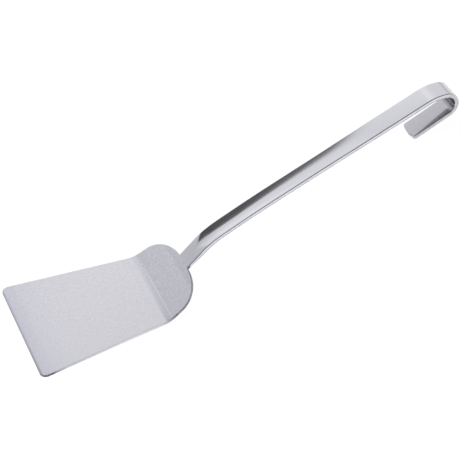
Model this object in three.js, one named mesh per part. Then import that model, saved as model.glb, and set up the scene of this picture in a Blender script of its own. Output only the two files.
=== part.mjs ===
// Kitchen turner in satin stainless steel.
// A trapezoid blade turns up at a rounded heel and is butt welded to a flat strip handle.
// The strip is pressed into a shallow channel behind the neck and ends in a hanging hook.
// Millimetres. X runs from the blade's front edge to the hook, Y across, Z up from the table.

import * as THREE from 'three';

const { clamp, degToRad, lerp, smoothstep } = THREE.MathUtils;

// Blade sheet, with its length to the fold line where the flat and the back would meet unbent
const BLADE_THICKNESS = 2;
const BLADE_LENGTH = 98.6;
const BLADE_FRONT_WIDTH = 98.6;
const BLADE_FOLD_WIDTH = 74.6;
const FRONT_CORNER_RADIUS = 4.5;
const BLADE_EDGE_RADIUS = 0.45;

// Heel bend, the flat back behind it with rounded shoulders, and the rise into the neck
const HEEL_ANGLE = degToRad(27.7);
const HEEL_RADIUS = 18;
const BACK_LENGTH = 19.1;
const SHOULDER_LENGTH = 19.9;
const RISE_ANGLE = degToRad(13.1);
const RISE_RADIUS = 18;

// Handle strip
const STRIP_THICKNESS = 3;
const STRIP_WIDTH = 16;
const STRIP_EDGE_RADIUS = 0.5;

// Side line of the handle from the weld to the hook, with radii to its top face
const NECK_LENGTH = 16.4;
const NECK_RADIUS = 58;
const NECK_TURN = degToRad(18.2);
const CAMBER_RADIUS = 1010;
const CAMBER_TURN = degToRad(2.87);
const GRIP_LENGTH = 123.5;

// Hanging hook: a wide lead-in bend, a tight turn and a flap with a crowned tip
const HOOK_LEAD_RADIUS = 33;
const HOOK_LEAD_TURN = degToRad(28);
const HOOK_RADIUS = 10.4;
const HOOK_TURN = degToRad(149.5);
const FLAP_LENGTH = 32.4;
const TIP_CROWN_RADIUS = 22;
const TIP_CORNER_RADIUS = 2;
const TIP_FLAT_WIDTH = 3;

// Channel pressed into the handle's top, deepest behind the neck and fading towards the hook
const CHANNEL_DEPTH = 1;
const CHANNEL_START = 12;
const CHANNEL_RUN_IN = 18;
const CHANNEL_FADE = 130;

// Crosswise saddle that the tight turn leaves in the hook
const SADDLE_DEPTH = 0.35;

// Fillet weld under the neck, in the step between the thin sheet and the thick strip
const WELD_LEG = 3.2;
const WELD_FULLNESS = 0.3;

// Facets of the curves, and the share of an edge's radius by which a rounded end draws in
const BEND_STEP = degToRad(5);
const PRESS_STEP = 6.5;
const OUTLINE_STEPS = 5;
const EDGE_STEPS = 2;
const CHANNEL_STEPS = 8;
const END_DRAW = 0.75;

const SATIN_STEEL = { color: 0xc9cad0, metalness: 1, roughness: 0.38 };
const BRUSHED_STEEL = { color: 0xcfd0d4, metalness: 1, roughness: 0.26 };
const BLASTED_WELD = { color: 0xb4b5ba, metalness: 1, roughness: 0.5 };

// The top face of a formed sheet seen from the side: straight runs and bends from a start.
// A positive turn goes up and a negative one down.
class SideLine {
  constructor(start) {
    this.start = start;
    this.steps = [];
    this.length = 0;
  }

  straight(length) {
    return this.add(length, 0);
  }

  bend(radius, turn) {
    return this.add(radius * Math.abs(turn), turn);
  }

  add(length, turn) {
    this.steps.push({ from: this.length, length, turn });
    this.length += length;
    return this;
  }

  // Place and heading at a distance along the line
  at(along) {
    let { x, z, heading } = this.start;
    for (const step of this.steps) {
      const run = clamp(along - step.from, 0, step.length);
      const turn = (step.turn * run) / step.length;
      const chord = turn === 0 ? run : ((2 * step.length) / step.turn) * Math.sin(turn / 2);
      x += chord * Math.cos(heading + turn / 2);
      z += chord * Math.sin(heading + turn / 2);
      heading += turn;
    }
    return { x, z, heading };
  }

  // Point at a height above the top face, with Z as its y
  point(along, height) {
    const { x, z, heading } = this.at(along);
    return new THREE.Vector2(x - height * Math.sin(heading), z + height * Math.cos(heading));
  }

  // Ends of the runs, and steps of a few degrees through the bends
  marks() {
    return this.steps.flatMap(({ from, length, turn }) => {
      const count = Math.max(1, Math.ceil(Math.abs(turn) / BEND_STEP));
      return Array.from({ length: count + 1 }, (_, i) => from + (length * i) / count);
    });
  }
}

// Half width at a distance along an outline's points
function halfWidthAt(outline, along) {
  const next = outline.findIndex((point, i) => i > 0 && point.x >= along);
  const end = next === -1 ? outline.length - 1 : next;
  const [a, b] = [outline[end - 1], outline[end]];
  return lerp(a.y, b.y, clamp((along - a.x) / (b.x - a.x), 0, 1));
}

// Rounded rectangle across a strip, anticlockwise, width as x and height as y.
// A dish lowers its middle and leaves the two edges in place.
function crossSection({ halfWidth, top, bottom, radius, dish, faceSteps }) {
  const reach = halfWidth - radius;
  const corners = [
    { x: reach, y: top - radius, faceTo: -reach, level: top },
    { x: -reach, y: top - radius },
    { x: -reach, y: bottom + radius, faceTo: reach, level: bottom },
    { x: reach, y: bottom + radius },
  ];
  const ring = [];
  corners.forEach(({ x, y, faceTo, level }, quarter) => {
    for (let i = 0; i <= EDGE_STEPS; i += 1) {
      const angle = (Math.PI / 2) * (quarter + i / EDGE_STEPS);
      ring.push(new THREE.Vector2(x + radius * Math.cos(angle), y + radius * Math.sin(angle)));
    }
    for (let i = 1; faceTo !== undefined && i < faceSteps; i += 1) {
      ring.push(new THREE.Vector2(lerp(x, faceTo, i / faceSteps), level));
    }
  });
  for (const point of ring) {
    point.y -= dish * (1 - (point.x / halfWidth) ** 2);
  }
  return ring;
}

// How far the faces have drawn in at a distance from a rounded end
function drawIn(distance, radius) {
  const short = clamp(radius - distance, 0, radius);
  return END_DRAW * (radius - Math.sqrt(radius * radius - short * short));
}

// Distances over which a rounded end draws in
function rimMarks(radius) {
  const quarters = Array.from({ length: EDGE_STEPS + 1 }, (_, i) => (Math.PI / 2) * (i / EDGE_STEPS));
  return quarters.map((angle) => radius * (1 - Math.cos(angle)));
}

// Distances in order, without near repeats
function inOrder(marks) {
  const nearest = 1e-4;
  const sorted = [...marks].sort((a, b) => a - b);
  return sorted.filter((mark, i) => i === 0 || mark - sorted[i - 1] > nearest);
}

// Closed body through a row of rings, each given flat for its end cap and placed in space
function loft(flatRings, rings) {
  const count = rings[0].length;
  const last = (rings.length - 1) * count;
  const index = [];
  for (let start = 0; start < last; start += count) {
    for (let i = 0; i < count; i += 1) {
      const a = start + i;
      const b = start + ((i + 1) % count);
      index.push(a, b, a + count, b, b + count, a + count);
    }
  }
  for (const [a, b, c] of THREE.ShapeUtils.triangulateShape(flatRings[0], [])) {
    index.push(a, c, b);
  }
  for (const [a, b, c] of THREE.ShapeUtils.triangulateShape(flatRings.at(-1), [])) {
    index.push(last + a, last + b, last + c);
  }
  const geometry = new THREE.BufferGeometry().setFromPoints(rings.flat());
  geometry.setIndex(index);
  geometry.computeVertexNormals();
  return geometry;
}

// A cut blank of even thickness, formed along a side line and rounded over at one end.
// Its outline holds half widths as y against developed lengths as x.
function formedBlank({ line, outline, thickness, edgeRadius, faceSteps, dishAt, marks, roundedEnd }) {
  const rims = rimMarks(edgeRadius).map((step) => Math.abs(roundedEnd - step));
  const stations = inOrder([...line.marks(), ...outline.map(({ x }) => x), ...marks, ...rims]);
  const flatRings = stations.map((along) => {
    const draw = drawIn(Math.abs(roundedEnd - along), edgeRadius);
    return crossSection({
      halfWidth: halfWidthAt(outline, along) - draw,
      top: -draw,
      bottom: draw - thickness,
      radius: edgeRadius - draw,
      dish: dishAt(along),
      faceSteps,
    });
  });
  const rings = flatRings.map((ring, k) =>
    ring.map(({ x, y }) => {
      const place = line.point(stations[k], y);
      return new THREE.Vector3(place.x, x, place.y);
    }),
  );
  return loft(flatRings, rings);
}

function steelMesh(name, geometry, finish) {
  const mesh = new THREE.Mesh(geometry, new THREE.MeshStandardMaterial(finish));
  mesh.name = name;
  return mesh;
}

// Blade, with its front edge across X = 0 and its flat run on Z = 0

const foldSetback = HEEL_RADIUS * Math.tan(HEEL_ANGLE / 2);
const heelStart = BLADE_LENGTH - foldSetback;
const bladeLine = new SideLine({ x: 0, z: 0, heading: 0 })
  .straight(heelStart)
  .bend(HEEL_RADIUS, HEEL_ANGLE)
  .straight(BACK_LENGTH)
  .bend(RISE_RADIUS, RISE_ANGLE)
  .straight(WELD_LEG);

// Half outline: round front corner, tapered side and a shoulder that is a quarter of an ellipse,
// touching the side and ending square to the neck
function bladeOutline() {
  const neck = STRIP_WIDTH / 2;
  const foldAlong = heelStart + (HEEL_RADIUS * HEEL_ANGLE) / 2;
  const taper = (BLADE_FRONT_WIDTH - BLADE_FOLD_WIDTH) / 2 / foldAlong;
  const sideAt = (along) => BLADE_FRONT_WIDTH / 2 - taper * along;
  const slant = Math.atan(taper);

  const corner = FRONT_CORNER_RADIUS;
  const cornerY = sideAt(corner) - corner / Math.cos(slant);

  const shoulderAt = bladeLine.length - SHOULDER_LENGTH;
  const lean = SHOULDER_LENGTH * taper;
  const shoulderWidth = Math.sqrt((sideAt(shoulderAt) - neck) ** 2 - lean * lean);
  const touch = Math.atan2(shoulderWidth, lean);

  const path = new THREE.Path();
  path.absarc(corner, cornerY, corner, Math.PI, Math.PI / 2 - slant, true);
  path.absellipse(shoulderAt, neck, SHOULDER_LENGTH, shoulderWidth, touch, 0, true);
  return path.getPoints(OUTLINE_STEPS);
}

const blade = formedBlank({
  line: bladeLine,
  outline: bladeOutline(),
  thickness: BLADE_THICKNESS,
  edgeRadius: BLADE_EDGE_RADIUS,
  faceSteps: 1,
  dishAt: () => 0,
  marks: [],
  roundedEnd: 0,
});

// Handle, which carries on from the blade's back edge with the two top faces flush

const handleLine = new SideLine(bladeLine.at(bladeLine.length))
  .straight(NECK_LENGTH)
  .bend(NECK_RADIUS, -NECK_TURN)
  .bend(CAMBER_RADIUS, -CAMBER_TURN)
  .straight(GRIP_LENGTH)
  .bend(HOOK_LEAD_RADIUS, -HOOK_LEAD_TURN)
  .bend(HOOK_RADIUS, -HOOK_TURN)
  .straight(FLAP_LENGTH);
const hookStart = handleLine.steps.at(-3).from;
const flapStart = handleLine.steps.at(-1).from;

// Half outline: a parallel strip whose end has small round corners and a shallow crown
function handleOutline() {
  const half = STRIP_WIDTH / 2;
  const flat = Math.asin(TIP_FLAT_WIDTH / 2 / TIP_CROWN_RADIUS);
  const crownX = handleLine.length - TIP_CROWN_RADIUS * Math.cos(flat);
  const inner = TIP_CROWN_RADIUS - TIP_CORNER_RADIUS;
  const cornerY = half - TIP_CORNER_RADIUS;
  const meet = Math.asin(cornerY / inner);

  const path = new THREE.Path();
  path.moveTo(0, half);
  path.absarc(crownX + inner * Math.cos(meet), cornerY, TIP_CORNER_RADIUS, Math.PI / 2, meet, true);
  path.absarc(crownX, 0, TIP_CROWN_RADIUS, meet, flat, true);
  return path.getPoints(OUTLINE_STEPS);
}

// Depth of the pressed channel and of the hook's saddle at a distance from the weld
function handleDish(along) {
  const deepest = CHANNEL_START + CHANNEL_RUN_IN;
  const rise = smoothstep(along, CHANNEL_START, deepest);
  const left = 1 - clamp((along - deepest) / CHANNEL_FADE, 0, 1);
  const swell = smoothstep(along, hookStart, flapStart);
  const relief = 1 - clamp((along - flapStart) / FLAP_LENGTH, 0, 1);
  return CHANNEL_DEPTH * rise * left * left + SADDLE_DEPTH * swell * relief;
}

// Even steps along the pressed channel
function pressMarks() {
  const run = CHANNEL_RUN_IN + CHANNEL_FADE;
  const count = Math.ceil(run / PRESS_STEP);
  return Array.from({ length: count + 1 }, (_, i) => CHANNEL_START + (run * i) / count);
}

const handle = formedBlank({
  line: handleLine,
  outline: handleOutline(),
  thickness: STRIP_THICKNESS,
  edgeRadius: STRIP_EDGE_RADIUS,
  faceSteps: CHANNEL_STEPS,
  dishAt: handleDish,
  marks: pressMarks(),
  roundedEnd: handleLine.length,
});

// Fillet weld across the flat of the strip, with a full face from its toe to the strip's underside

const joint = bladeLine.length;
const weldCorner = bladeLine.point(joint, -BLADE_THICKNESS);
const weldToe = bladeLine.point(joint - WELD_LEG, -BLADE_THICKNESS);
const weldCrown = bladeLine.point(joint - WELD_LEG * WELD_FULLNESS, -STRIP_THICKNESS);
const weldFoot = bladeLine.point(joint, -STRIP_THICKNESS);
const weldWidth = STRIP_WIDTH - 2 * STRIP_EDGE_RADIUS;

const weldSection = new THREE.Shape();
weldSection.moveTo(weldCorner.x, weldCorner.y);
weldSection.lineTo(weldToe.x, weldToe.y);
weldSection.quadraticCurveTo(weldCrown.x, weldCrown.y, weldFoot.x, weldFoot.y);
const weld = new THREE.ExtrudeGeometry(weldSection, {
  depth: weldWidth,
  bevelEnabled: false,
  curveSegments: OUTLINE_STEPS,
});

// Assembly, tilted until the round of the heel and the edge of the flap's tip both touch the table

const tipEdge = handleLine.point(handleLine.length - STRIP_EDGE_RADIUS, -STRIP_EDGE_RADIUS);
const heelToTip = new THREE.Vector2(tipEdge.x - heelStart, tipEdge.y - HEEL_RADIUS);
const heelDrop = HEEL_RADIUS + BLADE_THICKNESS - STRIP_EDGE_RADIUS;
const restTilt = heelToTip.angle() + Math.asin(heelDrop / heelToTip.length());

const weldMesh = steelMesh('neck_weld', weld, BLASTED_WELD);
weldMesh.rotation.x = Math.PI / 2;
weldMesh.position.y = weldWidth / 2;

const turner = new THREE.Group();
turner.add(steelMesh('blade', blade, SATIN_STEEL));
turner.add(steelMesh('handle', handle, BRUSHED_STEEL));
turner.add(weldMesh);
turner.rotation.y = restTilt;

const box = new THREE.Box3().setFromObject(turner, true);
turner.position.set(-(box.min.x + box.max.x) / 2, 0, -box.min.z);

export default turner;
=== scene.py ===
# %% [markdown]
# # A kitchen turner in satin steel
# The turner is made of two cut and bent pieces of stainless steel, a blade of sheet and a handle of strip,
# and the weld that joins them. The CAD model already fixes where everything is. Here each piece is made
# again with a finer shape and a real finish, in the order of the workshop: cut the flat blank, round its
# edges, press it, bend it, weld it.

# %% Load the frame
import math

import bmesh
import bpy
from mathutils import Matrix, Vector


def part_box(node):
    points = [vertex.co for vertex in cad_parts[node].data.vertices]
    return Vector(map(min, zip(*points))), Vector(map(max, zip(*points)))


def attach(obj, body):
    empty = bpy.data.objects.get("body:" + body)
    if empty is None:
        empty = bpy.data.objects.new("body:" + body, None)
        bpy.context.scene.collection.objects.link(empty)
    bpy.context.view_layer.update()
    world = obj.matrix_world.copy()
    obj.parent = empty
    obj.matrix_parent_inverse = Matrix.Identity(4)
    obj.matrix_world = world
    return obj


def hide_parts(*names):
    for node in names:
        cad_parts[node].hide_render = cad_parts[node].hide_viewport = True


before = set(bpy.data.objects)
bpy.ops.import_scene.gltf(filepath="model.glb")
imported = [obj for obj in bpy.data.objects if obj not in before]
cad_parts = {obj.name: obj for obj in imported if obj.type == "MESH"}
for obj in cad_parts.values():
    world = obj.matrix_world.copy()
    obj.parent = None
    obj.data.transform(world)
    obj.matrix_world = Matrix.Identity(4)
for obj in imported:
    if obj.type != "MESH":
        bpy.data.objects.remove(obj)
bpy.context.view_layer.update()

# %% [markdown]
# ## The blank of the blade
# The blade is cut from 2 mm sheet: a trapezoid with two small round corners in front, and behind it two
# shoulders that draw in to the width of the handle. It could be modelled bent from the start, but a
# flat blank is easier to draw, and every edge of it can be rounded in one go. So the sizes below are
# lengths on the flat sheet, and the bends come later.

# %% Sizes of the blade
MM = 0.001

BLADE_THICKNESS = 2 * MM
BLADE_LENGTH = 98.6 * MM
BLADE_FRONT_WIDTH = 98.6 * MM
BLADE_FOLD_WIDTH = 74.2 * MM
HEEL_RADIUS = 18 * MM
HEEL_TURN = math.radians(28.2)
BACK_LENGTH = 19.5 * MM
RISE_RADIUS = 18 * MM
RISE_TURN = math.radians(11.6)
WELD_LEG = 3.2 * MM

heel_start = BLADE_LENGTH - HEEL_RADIUS * math.tan(HEEL_TURN / 2)
heel_end = heel_start + HEEL_RADIUS * HEEL_TURN
rise_start = heel_end + BACK_LENGTH
rise_end = rise_start + RISE_RADIUS * RISE_TURN
joint = rise_end + WELD_LEG
print(f"the flat blank of the blade is {joint / MM:.1f} mm long")

# %% [markdown]
# Each shoulder is part of an ellipse. It starts where the ellipse touches the straight side of the
# blade, and it ends beside the neck, a hair before the joint, which leaves a small square notch there. A
# last short tab, as wide as the handle, stands for the waste that is cut off at the weld.

# %% Curve of the shoulders
STRIP_WIDTH = 16 * MM
SHOULDER_LENGTH = 19.9 * MM
SHOULDER_GAP = 0.7 * MM
SHOULDER_STEPS = 20
WASTE_TAB = 3 * MM

taper = (BLADE_FRONT_WIDTH - BLADE_FOLD_WIDTH) / (heel_start + heel_end)
front_half = BLADE_FRONT_WIDTH / 2
neck_half = STRIP_WIDTH / 2
shoulder_at = joint - SHOULDER_GAP - SHOULDER_LENGTH
lean = SHOULDER_LENGTH * taper
shoulder_width = math.sqrt((front_half - taper * shoulder_at - neck_half) ** 2 - lean**2)
touch = math.atan2(shoulder_width, lean)


def shoulder_point(angle):
    """A point on the ellipse of the shoulder, as length and half width."""
    return (shoulder_at + SHOULDER_LENGTH * math.cos(angle), neck_half + shoulder_width * math.sin(angle))


shoulder = [shoulder_point(touch * (1 - step / SHOULDER_STEPS)) for step in range(SHOULDER_STEPS + 1)]
outline = shoulder + [(joint + WASTE_TAB, neck_half)]
side_end, side_half = outline[0]
print(f"the straight sides end {side_end / MM:.1f} mm from the front edge")

# %% [markdown]
# The blank begins as a plane that is scaled to the length of the straight sides and to the front width.
# Its back edge is narrowed to give the taper.

# %% Start the blank
NEAR = 0.001 * MM


def start_blank(name, length, half_width):
    """Add a flat sheet from X = 0 on and open it in edit mode."""
    bpy.ops.object.select_all(action="DESELECT")
    bpy.ops.mesh.primitive_plane_add(size=2, calc_uvs=False)
    blank = bpy.context.object
    blank.name = name
    bpy.ops.object.mode_set(mode="EDIT")
    bpy.ops.transform.resize(value=(length / 2, half_width, 1))
    bpy.ops.transform.translate(value=(length / 2, 0, 0))
    return blank


def pick(piece, kind, test):
    """Select the points, edges or faces of a piece in edit mode that pass a test."""
    bpy.ops.mesh.select_mode(type=kind)
    bpy.ops.mesh.select_all(action="DESELECT")
    mesh = bmesh.from_edit_mesh(piece.data)
    for part in {"VERT": mesh.verts, "EDGE": mesh.edges, "FACE": mesh.faces}[kind]:
        if test(part):
            part.select_set(True)
    bmesh.update_edit_mesh(piece.data)


def pick_end(piece, along):
    """Select the edge across the blank at a distance along it."""
    pick(piece, "EDGE", lambda edge: all(abs(point.co.x - along) < NEAR for point in edge.verts))


blade = start_blank("turner_blade", side_end, front_half)
pick_end(blade, side_end)
bpy.ops.transform.resize(value=(1, side_half / front_half, 1), center_override=(0, 0, 0))
print(f"the back edge is narrowed to {2 * side_half / MM:.1f} mm")

# %% [markdown]
# From there the back edge is extruded again and again, each time a little further and a little narrower,
# from one point of the shoulder to the next.

# %% Draw the shoulders
def carry_end(path):
    """Extrude the selected end along a path of (length, half width), scaled in step with it."""
    for (along, half_width), (next_along, next_half_width) in zip(path, path[1:]):
        step = (next_along - along, 0, 0)
        bpy.ops.mesh.extrude_edges_move(TRANSFORM_OT_translate={"value": step})
        bpy.ops.transform.resize(value=(1, next_half_width / half_width, 1), center_override=(0, 0, 0))


carry_end(outline)
print("points on the blade's outline:", len(bmesh.from_edit_mesh(blade.data).verts))

# %% [markdown]
# The front corners are rounded with a bevel of the two corner points. Then all the faces are dissolved
# into one, so that the bevel of the rim has a clean face to run along, and the face is extruded down
# to the thickness of the sheet.

# %% Corners and thickness
FRONT_CORNER_RADIUS = 5 * MM
FRONT_CORNER_STEPS = 10

corner_angle = math.pi / 2 - math.atan(taper)
corner_setback = FRONT_CORNER_RADIUS / math.tan(corner_angle / 2)
pick(blade, "VERT", lambda point: point.co.x < NEAR)
bpy.ops.mesh.bevel(offset=corner_setback, segments=FRONT_CORNER_STEPS, affect="VERTICES")


def thicken(thickness):
    """Make one face of the blank, facing up, and extrude it down to a plate."""
    bpy.ops.mesh.select_mode(type="FACE")
    bpy.ops.mesh.select_all(action="SELECT")
    bpy.ops.mesh.dissolve_faces()
    bpy.ops.mesh.extrude_region_move(TRANSFORM_OT_translate={"value": (0, 0, -thickness)})
    bpy.ops.mesh.select_all(action="SELECT")
    bpy.ops.mesh.normals_make_consistent(inside=False)


thicken(BLADE_THICKNESS)
print("faces of the sharp plate:", len(bmesh.from_edit_mesh(blade.data).faces))

# %% [markdown]
# A cut sheet is tumbled or brushed before it is sold, so that no edge is sharp. That small round is what
# draws a thin dark line along the near edges, because it mirrors the dim front of the room. A bevel of
# three steps on every rim edge is enough for it. The two large faces are inset first, a hair further
# than the round reaches, so that they shade dead flat right up to their rounded edges.

# %% Rounded rim
BLADE_EDGE_RADIUS = 0.15 * MM
RIM_STEPS = 3
RIM_INSET = 1.06
RIM_ANGLE = math.radians(60)
FACE_SLOPE = 0.9
CUT_MERGE = 0.0001 * MM


def on_rim(edge):
    """Whether an edge runs between a large face and the rim of the plate."""
    start, end = edge.verts
    return edge.calc_face_angle() > RIM_ANGLE and abs(start.co.z - end.co.z) < NEAR


def round_rim(piece, radius):
    """Round the edges between the faces and the rim of a flat plate."""
    pick(piece, "FACE", lambda face: abs(face.normal.z) > FACE_SLOPE)
    bpy.ops.mesh.inset(thickness=RIM_INSET * radius, use_even_offset=True, use_individual=True)
    pick(piece, "EDGE", on_rim)
    bpy.ops.mesh.bevel(offset=radius, segments=RIM_STEPS, clamp_overlap=False)


def cut(along=(), across=(), **waste):
    """Cut the whole plate square to its length, and along it, at the given distances."""
    planes = [((x, 0, 0), (1, 0, 0)) for x in along] + [((0, y, 0), (0, 1, 0)) for y in across]
    for place, normal in planes:
        bpy.ops.mesh.select_all(action="SELECT")
        bpy.ops.mesh.bisect(plane_co=place, plane_no=normal, threshold=CUT_MERGE, **waste)


round_rim(blade, BLADE_EDGE_RADIUS)
cut(along=[joint], use_fill=True, clear_outer=True)
print("faces of the blade's plate:", len(bmesh.from_edit_mesh(blade.data).faces))

# %% [markdown]
# A plate can only bend where it has edges across it, so it is cut into narrow strips through each bend.
# Near the end of the heel bend the strips are narrower still: the press leaves a fine raised line there,
# straight across the blade, which catches the light. The front edge gets strips too, because it is ground
# down a little, and so do the places where the painted shade on the cut side of the blade fades in or out.

# %% Strips across the blade
PRESS_LINE_SETBACK = 1.9 * MM
PRESS_LINE_RISE = 3 * MM
PRESS_LINE_FALL = 0.7 * MM
PRESS_LINE_FADE = (8 * MM, 26 * MM)
FRONT_GRIND = 1.8 * MM
CORNER_SHADE_FADE = (5 * MM, 25 * MM)
SIDE_SHADE_FADE = (30 * MM, 80 * MM)
SHOULDER_SHADE_RISE = (92 * MM, 104 * MM)
GRIND_STRIPS = 6
CORNER_STRIPS = 6
SIDE_STRIPS = 4
HEEL_STRIPS = 14
RISE_STRIPS = 10
PRESS_RISE_STRIPS = 10
PRESS_FALL_STRIPS = 6
PRESS_FADE_STRIPS = 6


def spread(start, end, count):
    """Even distances from a start to an end, both included."""
    return [start + (end - start) * step / count for step in range(count + 1)]


press_line_from = heel_end - PRESS_LINE_SETBACK - PRESS_LINE_RISE
press_line_at = heel_end - PRESS_LINE_SETBACK
press_line_to = press_line_at + PRESS_LINE_FALL

strips = spread(0, FRONT_GRIND, GRIND_STRIPS)[1:]
strips += spread(*CORNER_SHADE_FADE, CORNER_STRIPS)
strips += spread(*SIDE_SHADE_FADE, SIDE_STRIPS) + [SHOULDER_SHADE_RISE[0]]
strips += spread(heel_start, heel_end, HEEL_STRIPS)
strips += spread(rise_start, rise_end, RISE_STRIPS)
strips += spread(press_line_from, press_line_at, PRESS_RISE_STRIPS)
strips += spread(press_line_at, press_line_to, PRESS_FALL_STRIPS)[1:]
cut(along=strips, across=spread(*PRESS_LINE_FADE, PRESS_FADE_STRIPS))
bpy.ops.object.mode_set(mode="OBJECT")
print("faces after the cuts:", len(blade.data.polygons))

# %% [markdown]
# ## The grain map and the painted shade on the sides
# The flat lengths and widths are stored as the piece's UV map before anything is bent, so a grain that
# reads the map later follows the steel round every bend. The cut sides are made rougher and are painted
# dark: painted shade, most of all round the front corners and the shoulders, and faint along the long
# sides towards the front. A point attribute says where, from 0 for bright to 1, and the finish reads it
# later.

# %% Flat pattern and painted shade on the sides of the blade
# These shares paint shade onto the cut sides of the blade and make them rougher.
CORNER_DULL_AND_SHADE = 0.9
LONG_SIDE_DULL_AND_SHADE = 0.26
SHOULDER_DULL_AND_SHADE = 0.8
CUT_END = 0.01 * MM


def ease(value, start, end):
    """Smooth step from 0 at a start to 1 at an end."""
    share = min(max((value - start) / (end - start), 0), 1)
    return share * share * (3 - 2 * share)


def keep_flat_pattern(piece):
    """Store the flat blank's lengths and widths as its UV map."""
    pattern = piece.data.uv_layers.new(name="flat_pattern")
    for loop in piece.data.loops:
        pattern.data[loop.index].uv = piece.data.vertices[loop.vertex_index].co.xy


def mark_dull_and_shade(piece, share):
    """Store how rough and how dark with painted shade a piece is at each of its points, and return the
    highest value.
    """
    dull_and_shade = piece.data.attributes.new("dull_and_shade", "FLOAT", "POINT")
    for point in piece.data.vertices:
        dull_and_shade.data[point.index].value = share(point)
    return max(value.value for value in dull_and_shade.data)


def blade_dull_and_shade(point):
    """How rough and how dark with painted shade the blade is at a point: only on its cut side, and not at
    the cut for the weld.
    """
    along = point.co.x
    corner = CORNER_DULL_AND_SHADE * (1 - ease(along, *CORNER_SHADE_FADE))
    long_side = LONG_SIDE_DULL_AND_SHADE * (1 - ease(along, *SIDE_SHADE_FADE))
    shoulder_side = SHOULDER_DULL_AND_SHADE * ease(along, *SHOULDER_SHADE_RISE)
    on_side = (1 - abs(point.normal.z)) * (along < joint - CUT_END)
    return max(corner, long_side, shoulder_side) * on_side


keep_flat_pattern(blade)
print(f"dullest point of the blade: {mark_dull_and_shade(blade, blade_dull_and_shade):.2f}")

# %% [markdown]
# ## The press
# The press is a Displace modifier that moves points up or down by their weight in a vertex group. It moves
# both faces alike, as a press does, unless the weights pick out one face, as a grinder does. The front
# edge of the blade is ground down from above, and the press line rises slowly, falls off sharply and
# dies out on one half of the blade.

# %% Press the blade
FRONT_DROP = 0.46 * MM
PRESS_LINE_HEIGHT = 0.155 * MM


def press(piece, name, height, share):
    """Move the flat plate along Z by a share of a height at each point."""
    group = piece.vertex_groups.new(name=name)
    for point in piece.data.vertices:
        group.add([point.index], share(point.co), "REPLACE")
    die = piece.modifiers.new(name, "DISPLACE")
    die.direction = "Z"
    die.mid_level = 0
    die.strength = height
    die.vertex_group = name
    bpy.ops.object.modifier_apply(modifier=name)
    piece.vertex_groups.remove(piece.vertex_groups[name])


def front_grind_share(point):
    """Share of the grind's drop: on the top face only, most at the very front."""
    on_top = point.z > -BLADE_THICKNESS / 2
    return on_top * max(1 - point.x / FRONT_GRIND, 0) ** 2


def press_line_share(point):
    """Share of the press line's height: a slow rise, a short fall, and an end on the far side."""
    rise = ease(point.x, press_line_from, press_line_at)
    fall = 1 - ease(point.x, press_line_at, press_line_to)
    return rise * fall * (1 - ease(point.y, *PRESS_LINE_FADE))


press(blade, "front_grind", -FRONT_DROP, front_grind_share)
press(blade, "press_line", PRESS_LINE_HEIGHT, press_line_share)
print(f"press line {PRESS_LINE_HEIGHT / MM:.2f} mm high, {press_line_at / MM:.1f} mm from the front edge")

# %% [markdown]
# ## Bending the blade
# Simple Deform bends everything past a point round the Y axis of an empty, and its limits set how long
# the bend is. The empty lies on the top face, so the radius and the length of the bend are those of
# the top face. The bends are made from the front to the back, and the place and heading of the next
# run are worked out on the way.

# %% Bend the heel
def go_on(start, length):
    """The place and heading after a straight run from a start (X, Z, heading)."""
    x, z, heading = start
    return (x + length * math.cos(heading), z + length * math.sin(heading), heading)


def bend(piece, start, radius, turn):
    """Bend a plate from a start on, up for a positive turn, and return the end of the bend."""
    x, z, heading = start
    bpy.ops.object.empty_add(location=(x, 0, z), rotation=(0, math.pi / 2 - heading, 0))
    roller = bpy.context.object
    ahead = Vector((math.cos(heading), 0, math.sin(heading)))
    reach = [(point.co - roller.location).dot(ahead) for point in piece.data.vertices]
    low = min(reach)
    span = max(reach) - low
    bpy.context.view_layer.objects.active = piece
    roll = piece.modifiers.new("bend", "SIMPLE_DEFORM")
    roll.deform_method = "BEND"
    roll.deform_axis = "Y"
    roll.origin = roller
    roll.angle = -turn
    roll.limits = (-low / span, (radius * abs(turn) - low) / span)
    bpy.ops.object.modifier_apply(modifier="bend")
    bpy.data.objects.remove(roller)
    chord = 2 * radius * math.sin(abs(turn) / 2)
    end_x, end_z, chord_heading = go_on((x, z, heading + turn / 2), chord)
    return (end_x, end_z, chord_heading + turn / 2)


heel_place = bend(blade, (heel_start, 0, 0), HEEL_RADIUS, HEEL_TURN)
print("the heel ends at", [round(value / MM, 2) for value in heel_place[:2]], "mm")

# %% Bend the rise to the neck
rise_place = bend(blade, go_on(heel_place, BACK_LENGTH), RISE_RADIUS, RISE_TURN)
joint_place = go_on(rise_place, WELD_LEG)
print("joint at", [round(value / MM, 2) for value in joint_place[:2]], "mm,",
      f"heading {math.degrees(joint_place[2]):.1f} degrees")

# %% [markdown]
# ## The handle
# The handle is a strip 16 mm wide and a little over 3 mm thick, which gets slightly wider towards the hook.
# Its end is cut to a shallow crown with small round corners, a channel is pressed into its top behind the
# neck, and it is bent four times: down at the neck, a slight camber, and two bends for the hanging hook.
# It is drawn as a flat blank like the blade.

# %% Sizes of the handle
STRIP_THICKNESS = 3.3 * MM
NECK_LENGTH = 16.4 * MM
NECK_RADIUS = 61.3 * MM
NECK_TURN = math.radians(17.2)
CAMBER_RADIUS = 1074 * MM
CAMBER_TURN = math.radians(2.7)
GRIP_LENGTH = 123.5 * MM
HOOK_LEAD_RADIUS = 33 * MM
HOOK_LEAD_TURN = math.radians(28)
HOOK_RADIUS = 10.4 * MM
HOOK_TURN = math.radians(149.5)
FLAP_LENGTH = 32.4 * MM

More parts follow.
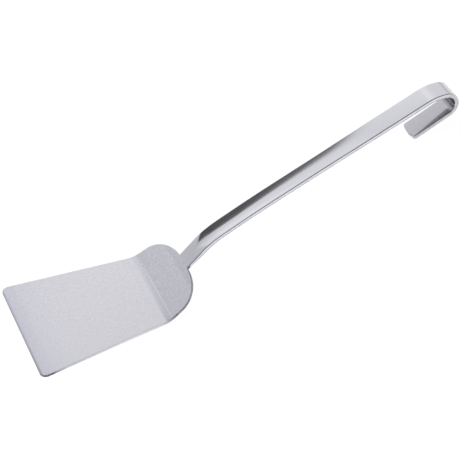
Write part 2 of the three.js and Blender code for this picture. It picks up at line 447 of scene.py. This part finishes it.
neck_end = NECK_LENGTH + NECK_RADIUS * NECK_TURN
camber_end = neck_end + CAMBER_RADIUS * CAMBER_TURN
hook_start = camber_end + GRIP_LENGTH
lead_end = hook_start + HOOK_LEAD_RADIUS * HOOK_LEAD_TURN
flap_start = lead_end + HOOK_RADIUS * HOOK_TURN
strip_end = flap_start + FLAP_LENGTH
print(f"the strip of the handle is {strip_end / MM:.1f} mm long")

# %% [markdown]
# The tip is drawn by two arcs on each side: a small one round the corner, and a part of a large circle for
# the crown. They meet where both have the same direction. The crown stops short of the middle line, so
# that the last edge still has a width.

# %% Curve of the tip
TIP_CROWN_RADIUS = 22 * MM
TIP_CORNER_RADIUS = 2 * MM
TIP_FLAT_WIDTH = 3 * MM
TIP_STEPS = 8


def arc(along, across, radius, start, end):
    """Points on a round arc, as (length, half width)."""
    return [(along + radius * math.cos(angle), across + radius * math.sin(angle))
            for angle in spread(start, end, TIP_STEPS)]


tip_flat = math.asin(TIP_FLAT_WIDTH / 2 / TIP_CROWN_RADIUS)
crown_at = strip_end - TIP_CROWN_RADIUS * math.cos(tip_flat)
corner_reach = TIP_CROWN_RADIUS - TIP_CORNER_RADIUS
corner_half = neck_half - TIP_CORNER_RADIUS
meet = math.asin(corner_half / corner_reach)
corner_at = crown_at + corner_reach * math.cos(meet)
tip = arc(corner_at, corner_half, TIP_CORNER_RADIUS, math.pi / 2, meet)
tip += arc(crown_at, 0, TIP_CROWN_RADIUS, meet, tip_flat)[1:]
print("points on one side of the tip:", len(tip))

# %% [markdown]
# The blank starts as a plane of even width, and its end is carried on through the flare and round the
# tip. Each step only scales the end that it finds, so the tip, which is drawn for the plain strip, comes
# out as wide as the flared one. At the joint a tab of waste is added and cut off again after the rim is
# rounded, which leaves a square end for the weld.

# %% Blank of the handle
STRIP_EDGE_RADIUS = 0.65 * MM
FLARE = 1.06
FLARE_FROM = 110 * MM
FLARE_TO = 180 * MM
FLARE_STEPS = 6


def flared_half(along):
    """Half the width of the strip at a distance along it."""
    return neck_half * (1 + (FLARE - 1) * ease(along, FLARE_FROM, FLARE_TO))


handle = start_blank("turner_handle", FLARE_FROM, neck_half)
pick_end(handle, FLARE_FROM)
flare_stations = spread(FLARE_FROM, FLARE_TO, FLARE_STEPS) + [corner_at]
carry_end([(along, flared_half(along)) for along in flare_stations])
carry_end(tip)
pick_end(handle, 0)
carry_end([(0, neck_half), (-WASTE_TAB, neck_half)])
thicken(STRIP_THICKNESS)
round_rim(handle, STRIP_EDGE_RADIUS)
cut(along=[0], use_fill=True, clear_inner=True)
print("faces of the handle's plate:", len(bmesh.from_edit_mesh(handle.data).faces))

# %% [markdown]
# The channel needs strips along the handle as well as across it, and the hook needs many across it. A few
# close strips at the joint let the painted shade in the corner beside the notch stay small.

# %% Strips of the handle
CHANNEL_START = 12.5 * MM
CHANNEL_END = 175 * MM
NOTCH_CUTS = [0.8 * MM, 1.5 * MM, 2.2 * MM, 3 * MM, 8 * MM]
NECK_STRIPS = 16
CHANNEL_STRIPS = 36
LEAD_STRIPS = 14
HOOK_STRIPS = 50
FLAP_STRIPS = 24
ACROSS_STRIPS = 36

face_half = neck_half - RIM_INSET * STRIP_EDGE_RADIUS
strips = NOTCH_CUTS + spread(CHANNEL_START, neck_end, NECK_STRIPS)
strips += spread(neck_end, CHANNEL_END, CHANNEL_STRIPS)[1:]
strips += spread(hook_start, lead_end, LEAD_STRIPS)
strips += spread(lead_end, flap_start, HOOK_STRIPS)[1:]
strips += spread(flap_start, corner_at, FLAP_STRIPS)[1:-1]
cut(along=strips, across=spread(-face_half, face_half, ACROSS_STRIPS)[1:-1])
bpy.ops.object.mode_set(mode="OBJECT")
print("faces of the handle:", len(handle.data.polygons))

# %% [markdown]
# The handle gets painted shade where it lies in shade, and is made rougher there too. The underside is
# painted dark from the end of the grip through the turn, so the flap mirrors a dark wedge of it, and it
# is lighter again on the flap itself. The outer round of the hook gets a little painted shade, the sides
# a painted dark line along their lower edge, and the corner beside the notch, a painted shadow, is darkest.

# %% Painted shade and rougher places of the handle
# These shares paint shade onto the handle and make it rougher where they reach.
SIDE_DULL_AND_SHADE = 0.18
LOWER_EDGE_DULL_AND_SHADE = 0.48
LOWER_EDGE_FROM = 0.7
SIDE_SHADE_RISE = (4 * MM, 9 * MM)
SIDE_FROM = 7 * MM
NOTCH_DULL_AND_SHADE = 0.95
NOTCH_FADE = (0.8 * MM, 3 * MM)
OUTSIDE_DULL_AND_SHADE = 0.36
FLAP_BRIGHTENS = 0.89

inside_rise = (hook_start - 35 * MM, hook_start - 15 * MM)
inside_fade = (flap_start - 14 * MM, flap_start)
outside_rise = (lead_end + 0.5 * MM, lead_end + 3 * MM)
outside_fade = (flap_start - 8 * MM, flap_start)


def handle_side_dull_and_shade(point):
    """How rough and how dark with painted shade the cut sides of the strip are at a point."""
    low_down = point.co.z < -LOWER_EDGE_FROM * STRIP_THICKNESS
    side = (LOWER_EDGE_DULL_AND_SHADE if low_down else SIDE_DULL_AND_SHADE) * ease(point.co.x, *SIDE_SHADE_RISE)
    notch = NOTCH_DULL_AND_SHADE * (1 - ease(point.co.x, *NOTCH_FADE))
    on_side = (1 - abs(point.normal.z)) * (abs(point.co.y) > SIDE_FROM)
    return max(side, notch) * on_side


def handle_dull_and_shade(point):
    """How rough and how dark with painted shade the handle is at a point of its faces or its sides."""
    if point.co.z < -STRIP_THICKNESS / 2:
        face = ease(point.co.x, *inside_rise) * (1 - FLAP_BRIGHTENS * ease(point.co.x, *inside_fade))
        face *= point.normal.z**2
    else:
        face = OUTSIDE_DULL_AND_SHADE * ease(point.co.x, *outside_rise) * (1 - ease(point.co.x, *outside_fade))
    return max(face, handle_side_dull_and_shade(point))


keep_flat_pattern(handle)
print(f"dullest point of the handle: {mark_dull_and_shade(handle, handle_dull_and_shade):.2f}")

# %% [markdown]
# The handle is pressed three times. Its end is thinned from below to the thickness of the sheet, so that
# both meet flush at the weld. The channel is a round hollow that starts as a narrow tip on the neck,
# widens, is deepest just behind the neck and fades out towards the hook. Last, one edge of the flap curls
# up by a fraction of a millimetre, because the tight turn did not hold it quite square. The curl is
# hardly a shape, but it turns a wedge of the flap away from the light.

# %% Thin the end of the handle
THINNED_LENGTH = 15 * MM


def thinned_share(point):
    """Share of the thinning: on the underside only, most at the joint."""
    on_underside = point.z < -STRIP_THICKNESS / 2
    return on_underside * max(1 - point.x / THINNED_LENGTH, 0)


press(handle, "thinned_end", STRIP_THICKNESS - BLADE_THICKNESS, thinned_share)
print(f"the strip is thinned over {THINNED_LENGTH / MM:.0f} mm")

# %% Press the channel
CHANNEL_DEPTH = 1 * MM
CHANNEL_HALF = 8.1 * MM
CHANNEL_TIP_SHARE = 0.25
CHANNEL_WIDENS = (13.5 * MM, 26 * MM)
CHANNEL_FULL = 30 * MM
CHANNEL_EASES_FROM = 50 * MM
CHANNEL_DECAY = 58 * MM
CHANNEL_DIES_FROM = 128 * MM


def channel_share(point):
    """Share of the channel's depth at a point of the flat strip."""
    run_in = ease(point.x, CHANNEL_START, CHANNEL_FULL)
    decay = math.exp(-max(point.x - CHANNEL_EASES_FROM, 0) / CHANNEL_DECAY)
    fade = 1 - ease(point.x, CHANNEL_DIES_FROM, CHANNEL_END)
    width = CHANNEL_TIP_SHARE + (1 - CHANNEL_TIP_SHARE) * ease(point.x, *CHANNEL_WIDENS)
    hollow = max(1 - (point.y / (width * CHANNEL_HALF)) ** 2, 0)
    return run_in * decay * fade * hollow


press(handle, "channel", -CHANNEL_DEPTH, channel_share)
print(f"channel pressed {CHANNEL_DEPTH / MM:.1f} mm deep")

# %% Curl one edge of the flap
CURL_SLOPE = 0.034
CURL_FROM = 3.6 * MM
CURL_LEAN = 0.14
CURL_SOFT = 0.25 * MM


def curl_share(point):
    """Share of the curl's height: nothing up to a slanted line, then a steady rise to the edge."""
    line_at = CURL_FROM + CURL_LEAN * max(point.x - flap_start, 0)
    past_line = -point.y - line_at
    rise = (past_line + math.hypot(past_line, CURL_SOFT)) / 2
    return ease(point.x, lead_end, flap_start) * rise / neck_half


press(handle, "curl", CURL_SLOPE * neck_half, curl_share)
print(f"curl slopes up by {100 * CURL_SLOPE:.1f} per cent")

# %% Bend the handle
place = bend(handle, (NECK_LENGTH, 0, 0), NECK_RADIUS, -NECK_TURN)
place = bend(handle, place, CAMBER_RADIUS, -CAMBER_TURN)
place = bend(handle, go_on(place, GRIP_LENGTH), HOOK_LEAD_RADIUS, -HOOK_LEAD_TURN)
place = bend(handle, place, HOOK_RADIUS, -HOOK_TURN)
tip_place = go_on(place, FLAP_LENGTH)
print("tip at", [round(value / MM, 2) for value in tip_place[:2]], "mm in the strip's own frame")

# %% [markdown]
# ## The weld
# Sheet and strip are butted and welded from below, where the bead does not show, and the welder lays it as
# a row of overlapping drops. One drop is a flattened sphere, an Array modifier repeats it across the
# strip, and a Remesh melts the row into one bead, which a Smooth modifier softens.

# %% Shape one drop
BEAD_DROPS = 12
DROP_RADIUS = 1.15 * MM
DROP_HEIGHT = 0.62 * MM
DROP_STRETCH = 1.45

bead_length = STRIP_WIDTH - 2 * STRIP_EDGE_RADIUS
drop_step = (bead_length - 2 * DROP_RADIUS) / (BEAD_DROPS - 1)
bpy.ops.object.select_all(action="DESELECT")
bpy.ops.mesh.primitive_uv_sphere_add(segments=24, ring_count=12, radius=DROP_RADIUS, calc_uvs=False)
weld = bpy.context.object
weld.name = "turner_neck_weld"
bpy.ops.object.mode_set(mode="EDIT")
bpy.ops.transform.resize(value=(DROP_STRETCH, 1, DROP_HEIGHT / DROP_RADIUS))
bpy.ops.transform.translate(value=(0, DROP_RADIUS - bead_length / 2, 0))
bpy.ops.object.mode_set(mode="OBJECT")
print(f"a drop every {drop_step / MM:.2f} mm")

# %% Melt the row into a bead
MELT_VOXEL = 0.14 * MM
SOFTEN_FACTOR = 0.5
SOFTEN_ROUNDS = 3

row = weld.modifiers.new("row", "ARRAY")
row.count = BEAD_DROPS
row.use_relative_offset = False
row.use_constant_offset = True
row.constant_offset_displace = (0, drop_step, 0)
melt = weld.modifiers.new("melt", "REMESH")
melt.mode = "VOXEL"
melt.voxel_size = MELT_VOXEL
soften = weld.modifiers.new("soften", "SMOOTH")
soften.factor = SOFTEN_FACTOR
soften.iterations = SOFTEN_ROUNDS
for modifier in ("row", "melt", "soften"):
    bpy.ops.object.modifier_apply(modifier=modifier)
print("faces of the weld bead:", len(weld.data.polygons))

# %% [markdown]
# ## Into the frame
# The handle and the weld are turned to the heading of the blade's back edge. Then all three are tilted
# as they lie on a table, on the round of the heel and the tip of the hook, and moved to where the CAD
# blade is. The turn and the move go into the mesh, so each object stays at the origin.

# %% Tilt of the resting turner
def turned_to(place, lift=0):
    """Matrix from a flat frame to a place and heading in the blade's frame, raised by a lift."""
    x, z, heading = place
    turn = Matrix.Rotation(-heading, 4, "Y")
    return Matrix.Translation((x, 0, z)) @ turn @ Matrix.Translation((0, 0, lift))


tip_round = turned_to(go_on(tip_place, -STRIP_EDGE_RADIUS), -STRIP_EDGE_RADIUS)
tip_edge = (turned_to(joint_place) @ tip_round).translation
heel_to_tip = Vector((tip_edge.x - heel_start, tip_edge.z - HEEL_RADIUS))
heel_drop = HEEL_RADIUS + BLADE_THICKNESS - STRIP_EDGE_RADIUS
rest_tilt = math.atan2(heel_to_tip.y, heel_to_tip.x) + math.asin(heel_drop / heel_to_tip.length)
tilt = Matrix.Rotation(rest_tilt, 4, "Y")
print(f"the turner rests with its blade tilted by {math.degrees(rest_tilt):.2f} degrees")

# %% Put the pieces in place
BEAD_SETBACK = 0.36 * WELD_LEG
BEAD_DROP = 0.38 * MM

weld_place = go_on(joint_place, -BEAD_SETBACK)
lies_in = {
    blade: Matrix(),
    handle: turned_to(joint_place),
    weld: turned_to(weld_place, -BLADE_THICKNESS - BEAD_DROP),
}
for piece, matrix in lies_in.items():
    piece.data.transform(tilt @ matrix)

blade_low = Vector([min(point.co[axis] for point in blade.data.vertices) for axis in range(3)])
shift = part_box("blade")[0] - blade_low
for piece in lies_in:
    piece.data.transform(Matrix.Translation((shift.x, 0, shift.z)))
    piece.data.update()
print("moved to the frame by", [round(value / MM, 2) for value in shift], "mm")

# %% [markdown]
# ## Smooth shading
# The strips of a bend should shade as one round, and the cut ends at the weld should stay sharp. Shade
# Smooth by Angle does both. A Weighted Normal modifier then lets the large faces decide how the narrow
# ones beside them shade, so the flats stay flat up to their rounded rims.

# %% Shade the steel
SMOOTH_ANGLE = math.radians(40)

for piece in lies_in:
    bpy.ops.object.select_all(action="DESELECT")
    piece.select_set(True)
    bpy.context.view_layer.objects.active = piece
    bpy.ops.object.shade_smooth_by_angle(angle=SMOOTH_ANGLE)
    even = piece.modifiers.new("even", "WEIGHTED_NORMAL")
    even.keep_sharp = True
    bpy.ops.object.modifier_apply(modifier="even")
    print(piece.name, "faces:", len(piece.data.polygons))

# %% [markdown]
# ## Finishes
# All three pieces are stainless steel, so they share a colour and differ in how they were worked. The
# blade has an even satin: a fine grain with no direction. The handle was brushed along its length,
# which leaves long faint lines that follow the bends. The bead was blasted and is the dullest. An image
# could carry all that, but a few nodes stay sharp at any distance. A finish is put together from small
# helpers: one for sums, two for colours and levels along the steel, and two for the grain.

# %% Sums and ramps
def combine(tree, operation, one, other):
    """Join two outputs, or an output and a number, with a math node."""
    node = tree.nodes.new("ShaderNodeMath")
    node.operation = operation
    tree.links.new(one, node.inputs[0])
    if isinstance(other, (int, float)):
        node.inputs[1].default_value = other
    else:
        tree.links.new(other, node.inputs[1])
    return node.outputs[0]


def ramp_through(tree, share, stops):
    """Colours through (place, colour) stops, for a share of 0 at the first place and 1 at the last."""
    ramp = tree.nodes.new("ShaderNodeValToRGB")
    low = stops[0][0]
    high = stops[-1][0]
    points = ramp.color_ramp.elements
    points[0].color = (*stops[0][1], 1)
    points[1].color = (*stops[-1][1], 1)
    for place, colour in stops[1:-1]:
        points.new((place - low) / (high - low)).color = (*colour, 1)
    tree.links.new(share, ramp.inputs["Fac"])
    return ramp.outputs["Color"]


def levels_through(tree, share, stops):
    """Grey levels through (place, level) stops."""
    return ramp_through(tree, share, [(place, [level] * 3) for place, level in stops])


print("sums and ramps are ready")

# %% Grain
NOISE_LOW = 0.3
NOISE_HIGH = 0.7


def noise(tree, place, scale, detail):
    """Cloudy noise, which stays mostly between the low and the high value above."""
    cloud = tree.nodes.new("ShaderNodeTexNoise")
    cloud.inputs["Scale"].default_value = scale
    cloud.inputs["Detail"].default_value = detail
    tree.links.new(place, cloud.inputs["Vector"])
    return cloud.outputs["Fac"]


def rescale(tree, cloud, low, high):
    """Stretch a noise so that it runs from a low to a high value."""
    node = tree.nodes.new("ShaderNodeMapRange")
    node.inputs["From Min"].default_value = NOISE_LOW
    node.inputs["From Max"].default_value = NOISE_HIGH
    node.inputs["To Min"].default_value = low
    node.inputs["To Max"].default_value = high
    tree.links.new(cloud, node.inputs["Value"])
    return node.outputs["Result"]


print("noise is read from", NOISE_LOW, "to", NOISE_HIGH)

# %% [markdown]
# A steel is a metal whose grain shows three times: as a speckle in its colour, as a change of roughness
# and as a very fine relief. Its colour and its speckle also change along the flat pattern. The speckle is
# coarser behind the heel, and the colour carries painted light and shade: on the blade it is darker at the
# front edge and lighter behind the heel. A grain that is stretched flat, with a third factor of 0, follows
# the flat pattern, and any other grain lies in the piece's own space.

# %% A steel finish
GRAIN_DETAIL = 4
GRAIN_RELIEF = 0.02 * MM


def steel(name, tones_and_painted_light, speckle, roughness, scale, stretch, bump):
    """A metal with (length, colour) stops of its colour, which may carry painted light and shade, (length,
    level) speckle and a (low, high) roughness.
    """
    material = bpy.data.materials.new(name)
    material.use_nodes = True
    tree = material.node_tree
    shader = tree.nodes["Principled BSDF"]
    shader.inputs["Metallic"].default_value = 1

    where = tree.nodes.new("ShaderNodeTexCoord")
    pattern = tree.nodes.new("ShaderNodeSeparateXYZ")
    tree.links.new(where.outputs["UV"], pattern.inputs["Vector"])
    share = combine(tree, "DIVIDE", pattern.outputs["X"], tones_and_painted_light[-1][0])
    mapping = tree.nodes.new("ShaderNodeMapping")
    mapping.inputs["Scale"].default_value = stretch
    tree.links.new(where.outputs["UV" if stretch[2] == 0 else "Object"], mapping.inputs["Vector"])
    grain = noise(tree, mapping.outputs["Vector"], scale, GRAIN_DETAIL)

    swing = combine(tree, "MULTIPLY", rescale(tree, grain, -1, 1), levels_through(tree, share, speckle))
    speckled = tree.nodes.new("ShaderNodeVectorMath")
    speckled.operation = "SCALE"
    tree.links.new(ramp_through(tree, share, tones_and_painted_light), speckled.inputs[0])
    tree.links.new(combine(tree, "ADD", swing, 1), speckled.inputs["Scale"])
    tree.links.new(speckled.outputs[0], shader.inputs["Base Color"])
    tree.links.new(rescale(tree, grain, *roughness), shader.inputs["Roughness"])

    relief = tree.nodes.new("ShaderNodeBump")
    relief.inputs["Strength"].default_value = bump
    relief.inputs["Distance"].default_value = GRAIN_RELIEF
    tree.links.new(grain, relief.inputs["Height"])
    tree.links.new(relief.outputs["Normal"], shader.inputs["Normal"])
    return material


BLASTED = (0.62, 0.62, 0.65)
blasted_steel = steel(
    "blasted_steel",
    tones_and_painted_light=((0, BLASTED), (1, BLASTED)),
    speckle=((0, 0.06), (1, 0.06)),
    roughness=(0.42, 0.58),
    scale=2500,
    stretch=(1, 1, 1),
    bump=0.5,
)
print("made", blasted_steel.name)

# %% Satin for the blade
SATIN = (0.715, 0.715, 0.765)


def tinted(level, blue=1):
    """The satin colour at a level, with more or less blue; on the blade, levels away from 1 are painted
    light and shade.
    """
    return (level * SATIN[0], level * SATIN[1], level * blue * SATIN[2])


satin_steel = steel(
    "satin_steel",
    # These stops are painted shade and light: darker and bluer at the front edge, a slight dip just before
    # the heel, and lighter from the heel to the joint.
    tones_and_painted_light=(
        (0, tinted(0.85, 1.06)),
        (6 * MM, tinted(0.88, 1.05)),
        (12 * MM, tinted(0.93, 1.03)),
        (25 * MM, tinted(0.965)),
        (90 * MM, tinted(1)),
        (95 * MM, tinted(0.98)),
        (98 * MM, tinted(1.05, 1.01)),
        (105 * MM, tinted(1.09, 1.03)),
        (122 * MM, tinted(1.10, 1.03)),
        (joint, tinted(1.12, 1.03)),
    ),
    speckle=((0, 0.068), (97 * MM, 0.068), (105 * MM, 0.105), (joint, 0.1)),
    roughness=(0.11, 0.17),
    scale=600,
    stretch=(1, 1, 1),
    bump=0.4,
)
print("made", satin_steel.name)

# %% Brushed steel for the handle
STEEL = (0.80, 0.80, 0.86)

brushed_steel = steel(
    "brushed_steel",
    tones_and_painted_light=((0, tinted(1.1, 1.03)), (8 * MM, tinted(1.06, 1.02)), (20 * MM, STEEL), (strip_end, STEEL)),
    speckle=((0, 0.06), (strip_end, 0.06)),
    roughness=(0.10, 0.16),
    scale=1,
    stretch=(50, 5000, 0),
    bump=0.05,
)
print("made", brushed_steel.name)

# %% [markdown]
# The marked places are rougher, and their near-black colour is painted shade. The attribute that was stored
# on the flat blanks blends the finish into that rough, dark one, and a cloudy noise makes it patchy.

# %% Painted shade and rough places
# The near-black colour is painted shade, not the colour of bare steel.
PAINTED_SHADE_STEEL = (0.1, 0.1, 0.105, 1)
DULL_ROUGHNESS = 0.3
PATCH_SCALE = 900
PATCH_DETAIL = 3
PATCH_LOW = 0.7
PATCH_HIGH = 1.5
MIX_SOCKETS = {"RGBA": (6, 7, 2), "FLOAT": (2, 3, 0)}


def dull_and_shade_where_marked(material):
    """Blend a finish into a rough one, darkened with painted shade, by the piece's attribute that marks
    where.
    """
    tree = material.node_tree
    shader = tree.nodes["Principled BSDF"]
    mask = tree.nodes.new("ShaderNodeAttribute")
    mask.attribute_name = "dull_and_shade"
    where = tree.nodes.new("ShaderNodeTexCoord")
    patches = noise(tree, where.outputs["Object"], PATCH_SCALE, PATCH_DETAIL)
    patchy = rescale(tree, patches, PATCH_LOW, PATCH_HIGH)
    share = combine(tree, "MULTIPLY", patchy, mask.outputs["Fac"])
    for socket, kind, dull_and_shade_value in (
        ("Base Color", "RGBA", PAINTED_SHADE_STEEL),
        ("Roughness", "FLOAT", DULL_ROUGHNESS),
    ):
        bright, dull_and_shade, blended = MIX_SOCKETS[kind]
        mix = tree.nodes.new("ShaderNodeMix")
        mix.data_type = kind
        tree.links.new(share, mix.inputs[0])
        tree.links.new(shader.inputs[socket].links[0].from_socket, mix.inputs[bright])
        mix.inputs[dull_and_shade].default_value = dull_and_shade_value
        tree.links.new(mix.outputs[blended], shader.inputs[socket])


for finish in (brushed_steel, satin_steel):
    dull_and_shade_where_marked(finish)
    print(finish.name, "is dull where the piece says so")

# %% Give the pieces their finish
for piece, node, slot, finish in (
    (blade, "blade", "satin_blade", satin_steel),
    (handle, "handle", "brushed_handle", brushed_steel),
    (weld, "neck_weld", "weld_bead", blasted_steel),
):
    piece.data.materials.append(finish)
    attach(piece, "root")
    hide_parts(node)
    print(piece.name, "stands for", node, "with the finish", finish.name)

# %% [markdown]
# ## The studio
# Steel shows its surroundings more than its own colour, so the studio is half of the finish. The floor is
# white, and it adds a glow only for rays that look at it, straight, through glass or in a mirror, so it
# stays white without more lamps and keeps a soft shadow. In mirror rays the glow is weaker close to the
# turner, where an Ambient Occlusion node finds the steel near the floor: a painted contact shadow, which
# the steel mirrors.

# %% Paint and glow of the floor
FLOOR_PAINT = (0.5, 0.5, 0.5, 1)
SEEN_GLOW = 0.9
MIRROR_GLOW = 1.03
PAINTED_SHADOW_REACH = 15 * MM
PAINTED_SHADOW_SAMPLES = 8


def bare_material(name):
    """A material with nothing but its output, the tree of its nodes and the socket of its surface."""
    material = bpy.data.materials.new(name)
    material.use_nodes = True
    tree = material.node_tree
    tree.nodes.clear()
    return material, tree, tree.nodes.new("ShaderNodeOutputMaterial").inputs["Surface"]


white_floor, tree, surface = bare_material("white_floor")
paint = tree.nodes.new("ShaderNodeBsdfDiffuse")
paint.inputs["Color"].default_value = FLOOR_PAINT
ray = tree.nodes.new("ShaderNodeLightPath")
# The occlusion paints a contact shadow into the floor's glow for mirror rays only.
painted_contact_shadow = tree.nodes.new("ShaderNodeAmbientOcclusion")
painted_contact_shadow.samples = PAINTED_SHADOW_SAMPLES
painted_contact_shadow.inputs["Distance"].default_value = PAINTED_SHADOW_REACH
looked_at = combine(tree, "ADD", ray.outputs["Is Camera Ray"], ray.outputs["Is Transmission Ray"])
seen = combine(tree, "MULTIPLY", looked_at, SEEN_GLOW)
open_floor = combine(tree, "MULTIPLY", ray.outputs["Is Glossy Ray"], painted_contact_shadow.outputs["AO"])
mirrored = combine(tree, "MULTIPLY", open_floor, MIRROR_GLOW)
glow = tree.nodes.new("ShaderNodeEmission")
tree.links.new(combine(tree, "ADD", seen, mirrored), glow.inputs["Strength"])
both = tree.nodes.new("ShaderNodeAddShader")
tree.links.new(paint.outputs[0], both.inputs[0])
tree.links.new(glow.outputs[0], both.inputs[1])
tree.links.new(both.outputs[0], surface)
print("nodes of the floor's paint:", len(tree.nodes))

# %% Lay the floor
FLOOR_SIZE = 40


def flat_stage(name, size, material):
    """Add a plane that belongs to the studio."""
    bpy.ops.object.select_all(action="DESELECT")
    bpy.ops.mesh.primitive_plane_add(size=1, calc_uvs=True)
    plane = bpy.context.object
    plane.name = name
    plane.scale = (*size, 1)
    plane.data.materials.append(material)
    return plane


flat_stage("floor", (FLOOR_SIZE, FLOOR_SIZE), white_floor)
print("floor laid at Z = 0")

# %% [markdown]
# A wide soft panel stands behind the turner, and every flat of the steel mirrors some part of it. A lamp
# could light the steel as well, but only a surface can fade as a photographer's panel does. It is
# brightest a little right of the turner and dims to both ends. Upward it stays nearly even for two metres
# and then falls off quickly to the dark of the room, a little higher on the left. That dark is what the
# far wall of the channel mirrors. Each level below belongs to a place in metres, and 1 is white.

# %% Levels of the soft panel
PANEL_LEFT = -1.9
PANEL_RIGHT = 8.0
PANEL_LOW = 0.02
PANEL_HIGH = 4.2
SIDEWAYS = (
    (PANEL_LEFT, 0.56), (-1.45, 0.585), (-0.65, 0.73), (-0.4, 0.78), (-0.1, 0.85),
    (0.2, 0.87), (0.33, 0.89), (0.4, 0.93), (0.48, 0.97), (0.87, 1.0),
    (1.05, 0.94), (1.42, 0.83), (1.9, 0.71), (3.0, 0.6), (PANEL_RIGHT, 0.55),
)
UPWARD = (
    (PANEL_LOW, 0.85), (0.6, 1.0), (1.0, 1.1), (1.3, 1.05), (1.45, 0.98), (1.6, 0.94), (1.8, 0.95),
    (1.95, 1.0), (2.08, 1.0), (2.12, 0.75), (2.15, 0.42), (2.18, 0.27), (2.24, 0.2), (2.4, 0.16),
    (2.9, 0.13), (PANEL_HIGH, 0.12),
)
LIFT = ((PANEL_LEFT, 0.08), (0.1, 0.08), (0.3, 0.0), (PANEL_RIGHT, 0.0))


def glowing_material(name):
    """A material that only glows, the tree of its nodes and the socket of its strength."""
    material, tree, surface = bare_material(name)
    glow = tree.nodes.new("ShaderNodeEmission")
    tree.links.new(glow.outputs[0], surface)
    return material, tree, glow.inputs["Strength"]


soft_panel, tree, strength = glowing_material("soft_panel")
where = tree.nodes.new("ShaderNodeTexCoord")
split = tree.nodes.new("ShaderNodeSeparateXYZ")
tree.links.new(where.outputs["UV"], split.inputs["Vector"])
panel_width = PANEL_RIGHT - PANEL_LEFT
panel_height = PANEL_HIGH - PANEL_LOW
drop = combine(tree, "DIVIDE", levels_through(tree, split.outputs["X"], LIFT), panel_height)
height_share = combine(tree, "SUBTRACT", split.outputs["Y"], drop)
sideways = levels_through(tree, split.outputs["X"], SIDEWAYS)
upward = levels_through(tree, height_share, UPWARD)
tree.links.new(combine(tree, "MULTIPLY", sideways, upward), strength)
print("nodes of the panel's light:", len(tree.nodes))

# %% Stand the panel behind the turner
PANEL_AT = 2.0


def stand_up(plane, place, turn=0):
    """Stand a panel upright at a place, turned about Z, out of the camera's sight."""
    plane.location = place
    plane.rotation_euler = (math.pi / 2, 0, turn)
    plane.visible_camera = False


panel = flat_stage("soft_panel", (panel_width, panel_height), soft_panel)
stand_up(panel, ((PANEL_LEFT + PANEL_RIGHT) / 2, PANEL_AT, (PANEL_LOW + PANEL_HIGH) / 2))
print(f"panel of {panel_width:.1f} by {panel_height:.1f} m set behind the turner")

# %% [markdown]
# Two dim, low panels stand in front of the turner and beyond its blade. They hardly show in the main
# view, but without them the steel would mirror little but the dark room when it is seen from behind.

# %% Low panels in front and beyond the blade
LOW_PANEL_LEVEL = 0.45
LOW_PANEL_HEIGHT = 1.8
LOW_PANEL_MIDDLE = 1.1
LOW_PANELS = (((0.3, -2.2, LOW_PANEL_MIDDLE), 5.0, 0), ((-2.6, 0.0, LOW_PANEL_MIDDLE), 3.0, math.pi / 2))

low_light, tree, strength = glowing_material("low_panel")
strength.default_value = LOW_PANEL_LEVEL
for place, width, turn in LOW_PANELS:
    low_panel = flat_stage("low_panel", (width, LOW_PANEL_HEIGHT), low_light)
    stand_up(low_panel, place, turn)
print("low panels set:", len(LOW_PANELS))

# %% Dark room
ROOM_LEVEL = (0.1, 0.1, 0.105, 1)

room = bpy.data.worlds.new("dark_room")
room.use_nodes = True
room.node_tree.nodes["Background"].inputs["Color"].default_value = ROOM_LEVEL
bpy.context.scene.world = room
bpy.context.scene.view_settings.view_transform = "Standard"
print("room set to", ROOM_LEVEL[:3])

# %% [markdown]
# ## The camera
# The camera stands in front of the turner's long side, 45 degrees up, with a long lens, and it is rolled
# so that the handle climbs to the upper right corner.

# %% Camera
CAMERA_PLACE = (-0.0477, -0.8411, 0.8512)
CAMERA_TURNS = (41.0986, 20.3392, -24.1734)
CAMERA_LENS = 129.87
CAMERA_SENSOR = 36

camera_turn = [math.radians(turn) for turn in CAMERA_TURNS]
bpy.ops.object.camera_add(location=CAMERA_PLACE, rotation=camera_turn)
camera = bpy.context.object
camera.data.sensor_width = CAMERA_SENSOR
camera.data.lens = CAMERA_LENS
bpy.context.scene.camera = camera
print("camera lens", camera.data.lens, "mm")
